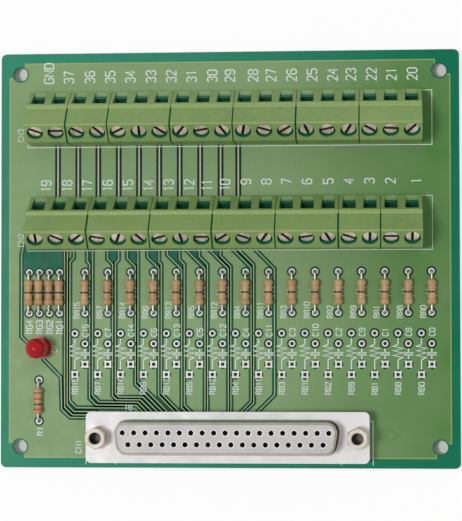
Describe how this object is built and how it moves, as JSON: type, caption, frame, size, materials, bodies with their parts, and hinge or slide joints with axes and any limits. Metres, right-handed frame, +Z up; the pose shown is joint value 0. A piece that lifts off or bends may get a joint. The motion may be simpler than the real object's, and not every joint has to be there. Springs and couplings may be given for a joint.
{
  "type": "d-sub terminal block adapter",
  "caption": "Circuit board that breaks a vertical D-sub socket out to two rows of angled screw terminals, with axial resistors and an indicator lamp.",
  "frame": {"origin": "centre of the four mounting holes, on the circuit board's underside", "axes": "+X along the terminal rows towards terminal 1, +Y from the D-sub socket towards the upper terminal row, +Z up out of the board's parts side"},
  "size_m": [0.1138, 0.103, 0.017],
  "materials": {
    "laminate": "woven glass laminate under green solder mask",
    "terminal_green": "moulded plastic, light green",
    "clamp_steel": "nickel plated steel",
    "screw_steel": "zinc plated steel",
    "tinned_copper": "tin plated",
    "tinned_shell": "bright tin plated sheet",
    "insulator_grey": "moulded plastic, light grey",
    "contact_gold": "gold flashed",
    "resistor_tan": "lacquered ceramic, tan with a black band",
    "resistor_banded": "lacquered ceramic, tan with colour bands",
    "lamp_red": "tinted epoxy, red",
    "solder": "bright solder"
  },
  "bodies": {
    "adapter": {"circuit_board": "laminate", "upper_terminal_housings": "terminal_green", "lower_terminal_housings": "terminal_green", "upper_wire_cages": "clamp_steel", "lower_wire_cages": "clamp_steel", "upper_contact_pins": "tinned_copper", "lower_contact_pins": "tinned_copper", "socket_front_shell": "tinned_shell", "socket_rear_shell": "tinned_shell", "socket_front_insulator": "insulator_grey", "socket_rear_insulator": "insulator_grey", "socket_contacts": "contact_gold", "jack_screws": "clamp_steel", "board_locks": "tinned_copper", "resistor_bodies": "resistor_tan", "lamp_resistor_body": "resistor_banded", "resistor_leads": "tinned_copper", "lamp_lens": "lamp_red", "lamp_leads": "tinned_copper", "solder_joints": "solder"},
    "screw_1": {"terminal_screw_1": "screw_steel"},
    "screw_2": {"terminal_screw_2": "screw_steel"},
    "screw_3": {"terminal_screw_3": "screw_steel"},
    "screw_4": {"terminal_screw_4": "screw_steel"},
    "screw_5": {"terminal_screw_5": "screw_steel"},
    "screw_6": {"terminal_screw_6": "screw_steel"},
    "screw_7": {"terminal_screw_7": "screw_steel"},
    "screw_8": {"terminal_screw_8": "screw_steel"},
    "screw_9": {"terminal_screw_9": "screw_steel"},
    "screw_10": {"terminal_screw_10": "screw_steel"},
    "screw_11": {"terminal_screw_11": "screw_steel"},
    "screw_12": {"terminal_screw_12": "screw_steel"},
    "screw_13": {"terminal_screw_13": "screw_steel"},
    "screw_14": {"terminal_screw_14": "screw_steel"},
    "screw_15": {"terminal_screw_15": "screw_steel"},
    "screw_16": {"terminal_screw_16": "screw_steel"},
    "screw_17": {"terminal_screw_17": "screw_steel"},
    "screw_18": {"terminal_screw_18": "screw_steel"},
    "screw_19": {"terminal_screw_19": "screw_steel"},
    "screw_20": {"terminal_screw_20": "screw_steel"},
    "screw_21": {"terminal_screw_21": "screw_steel"},
    "screw_22": {"terminal_screw_22": "screw_steel"},
    "screw_23": {"terminal_screw_23": "screw_steel"},
    "screw_24": {"terminal_screw_24": "screw_steel"},
    "screw_25": {"terminal_screw_25": "screw_steel"},
    "screw_26": {"terminal_screw_26": "screw_steel"},
    "screw_27": {"terminal_screw_27": "screw_steel"},
    "screw_28": {"terminal_screw_28": "screw_steel"},
    "screw_29": {"terminal_screw_29": "screw_steel"},
    "screw_30": {"terminal_screw_30": "screw_steel"},
    "screw_31": {"terminal_screw_31": "screw_steel"},
    "screw_32": {"terminal_screw_32": "screw_steel"},
    "screw_33": {"terminal_screw_33": "screw_steel"},
    "screw_34": {"terminal_screw_34": "screw_steel"},
    "screw_35": {"terminal_screw_35": "screw_steel"},
    "screw_36": {"terminal_screw_36": "screw_steel"},
    "screw_37": {"terminal_screw_37": "screw_steel"},
    "screw_38": {"terminal_screw_38": "screw_steel"}
  },
  "joints": [
    {"name": "screw_1_turn", "type": "hinge", "parent": "adapter", "child": "screw_1", "pos_m": [0.04512, 0.005, 0.01265], "axis": [0, 0.7071, -0.7071], "range_deg": [0, 2080]},
    {"name": "screw_2_turn", "type": "hinge", "parent": "adapter", "child": "screw_2", "pos_m": [0.04004, 0.005, 0.01265], "axis": [0, 0.7071, -0.7071], "range_deg": [0, 2080]},
    {"name": "screw_3_turn", "type": "hinge", "parent": "adapter", "child": "screw_3", "pos_m": [0.03496, 0.005, 0.01265], "axis": [0, 0.7071, -0.7071], "range_deg": [0, 2080]},
    {"name": "screw_4_turn", "type": "hinge", "parent": "adapter", "child": "screw_4", "pos_m": [0.02988, 0.005, 0.01265], "axis": [0, 0.7071, -0.7071], "range_deg": [0, 2080]},
    {"name": "screw_5_turn", "type": "hinge", "parent": "adapter", "child": "screw_5", "pos_m": [0.0248, 0.005, 0.01265], "axis": [0, 0.7071, -0.7071], "range_deg": [0, 2080]},
    {"name": "screw_6_turn", "type": "hinge", "parent": "adapter", "child": "screw_6", "pos_m": [0.01972, 0.005, 0.01265], "axis": [0, 0.7071, -0.7071], "range_deg": [0, 2080]},
    {"name": "screw_7_turn", "type": "hinge", "parent": "adapter", "child": "screw_7", "pos_m": [0.01464, 0.005, 0.01265], "axis": [0, 0.7071, -0.7071], "range_deg": [0, 2080]},
    {"name": "screw_8_turn", "type": "hinge", "parent": "adapter", "child": "screw_8", "pos_m": [0.00956, 0.005, 0.01265], "axis": [0, 0.7071, -0.7071], "range_deg": [0, 2080]},
    {"name": "screw_9_turn", "type": "hinge", "parent": "adapter", "child": "screw_9", "pos_m": [0.00448, 0.005, 0.01265], "axis": [0, 0.7071, -0.7071], "range_deg": [0, 2080]},
    {"name": "screw_10_turn", "type": "hinge", "parent": "adapter", "child": "screw_10", "pos_m": [-0.0006, 0.005, 0.01265], "axis": [0, 0.7071, -0.7071], "range_deg": [0, 2080]},
    {"name": "screw_11_turn", "type": "hinge", "parent": "adapter", "child": "screw_11", "pos_m": [-0.00568, 0.005, 0.01265], "axis": [0, 0.7071, -0.7071], "range_deg": [0, 2080]},
    {"name": "screw_12_turn", "type": "hinge", "parent": "adapter", "child": "screw_12", "pos_m": [-0.01076, 0.005, 0.01265], "axis": [0, 0.7071, -0.7071], "range_deg": [0, 2080]},
    {"name": "screw_13_turn", "type": "hinge", "parent": "adapter", "child": "screw_13", "pos_m": [-0.01584, 0.005, 0.01265], "axis": [0, 0.7071, -0.7071], "range_deg": [0, 2080]},
    {"name": "screw_14_turn", "type": "hinge", "parent": "adapter", "child": "screw_14", "pos_m": [-0.02092, 0.005, 0.01265], "axis": [0, 0.7071, -0.7071], "range_deg": [0, 2080]},
    {"name": "screw_15_turn", "type": "hinge", "parent": "adapter", "child": "screw_15", "pos_m": [-0.026, 0.005, 0.01265], "axis": [0, 0.7071, -0.7071], "range_deg": [0, 2080]},
    {"name": "screw_16_turn", "type": "hinge", "parent": "adapter", "child": "screw_16", "pos_m": [-0.03108, 0.005, 0.01265], "axis": [0, 0.7071, -0.7071], "range_deg": [0, 2080]},
    {"name": "screw_17_turn", "type": "hinge", "parent": "adapter", "child": "screw_17", "pos_m": [-0.03616, 0.005, 0.01265], "axis": [0, 0.7071, -0.7071], "range_deg": [0, 2080]},
    {"name": "screw_18_turn", "type": "hinge", "parent": "adapter", "child": "screw_18", "pos_m": [-0.04124, 0.005, 0.01265], "axis": [0, 0.7071, -0.7071], "range_deg": [0, 2080]},
    {"name": "screw_19_turn", "type": "hinge", "parent": "adapter", "child": "screw_19", "pos_m": [-0.04632, 0.005, 0.01265], "axis": [0, 0.7071, -0.7071], "range_deg": [0, 2080]},
    {"name": "screw_20_turn", "type": "hinge", "parent": "adapter", "child": "screw_20", "pos_m": [0.04512, 0.031, 0.01265], "axis": [0, 0.7071, -0.7071], "range_deg": [0, 2080]},
    {"name": "screw_21_turn", "type": "hinge", "parent": "adapter", "child": "screw_21", "pos_m": [0.04004, 0.031, 0.01265], "axis": [0, 0.7071, -0.7071], "range_deg": [0, 2080]},
    {"name": "screw_22_turn", "type": "hinge", "parent": "adapter", "child": "screw_22", "pos_m": [0.03496, 0.031, 0.01265], "axis": [0, 0.7071, -0.7071], "range_deg": [0, 2080]},
    {"name": "screw_23_turn", "type": "hinge", "parent": "adapter", "child": "screw_23", "pos_m": [0.02988, 0.031, 0.01265], "axis": [0, 0.7071, -0.7071], "range_deg": [0, 2080]},
    {"name": "screw_24_turn", "type": "hinge", "parent": "adapter", "child": "screw_24", "pos_m": [0.0248, 0.031, 0.01265], "axis": [0, 0.7071, -0.7071], "range_deg": [0, 2080]},
    {"name": "screw_25_turn", "type": "hinge", "parent": "adapter", "child": "screw_25", "pos_m": [0.01972, 0.031, 0.01265], "axis": [0, 0.7071, -0.7071], "range_deg": [0, 2080]},
    {"name": "screw_26_turn", "type": "hinge", "parent": "adapter", "child": "screw_26", "pos_m": [0.01464, 0.031, 0.01265], "axis": [0, 0.7071, -0.7071], "range_deg": [0, 2080]},
    {"name": "screw_27_turn", "type": "hinge", "parent": "adapter", "child": "screw_27", "pos_m": [0.00956, 0.031, 0.01265], "axis": [0, 0.7071, -0.7071], "range_deg": [0, 2080]},
    {"name": "screw_28_turn", "type": "hinge", "parent": "adapter", "child": "screw_28", "pos_m": [0.00448, 0.031, 0.01265], "axis": [0, 0.7071, -0.7071], "range_deg": [0, 2080]},
    {"name": "screw_29_turn", "type": "hinge", "parent": "adapter", "child": "screw_29", "pos_m": [-0.0006, 0.031, 0.01265], "axis": [0, 0.7071, -0.7071], "range_deg": [0, 2080]},
    {"name": "screw_30_turn", "type": "hinge", "parent": "adapter", "child": "screw_30", "pos_m": [-0.00568, 0.031, 0.01265], "axis": [0, 0.7071, -0.7071], "range_deg": [0, 2080]},
    {"name": "screw_31_turn", "type": "hinge", "parent": "adapter", "child": "screw_31", "pos_m": [-0.01076, 0.031, 0.01265], "axis": [0, 0.7071, -0.7071], "range_deg": [0, 2080]},
    {"name": "screw_32_turn", "type": "hinge", "parent": "adapter", "child": "screw_32", "pos_m": [-0.01584, 0.031, 0.01265], "axis": [0, 0.7071, -0.7071], "range_deg": [0, 2080]},
    {"name": "screw_33_turn", "type": "hinge", "parent": "adapter", "child": "screw_33", "pos_m": [-0.02092, 0.031, 0.01265], "axis": [0, 0.7071, -0.7071], "range_deg": [0, 2080]},
    {"name": "screw_34_turn", "type": "hinge", "parent": "adapter", "child": "screw_34", "pos_m": [-0.026, 0.031, 0.01265], "axis": [0, 0.7071, -0.7071], "range_deg": [0, 2080]},
    {"name": "screw_35_turn", "type": "hinge", "parent": "adapter", "child": "screw_35", "pos_m": [-0.03108, 0.031, 0.01265], "axis": [0, 0.7071, -0.7071], "range_deg": [0, 2080]},
    {"name": "screw_36_turn", "type": "hinge", "parent": "adapter", "child": "screw_36", "pos_m": [-0.03616, 0.031, 0.01265], "axis": [0, 0.7071, -0.7071], "range_deg": [0, 2080]},
    {"name": "screw_37_turn", "type": "hinge", "parent": "adapter", "child": "screw_37", "pos_m": [-0.04124, 0.031, 0.01265], "axis": [0, 0.7071, -0.7071], "range_deg": [0, 2080]},
    {"name": "screw_38_turn", "type": "hinge", "parent": "adapter", "child": "screw_38", "pos_m": [-0.04632, 0.031, 0.01265], "axis": [0, 0.7071, -0.7071], "range_deg": [0, 2080]}
  ]
}
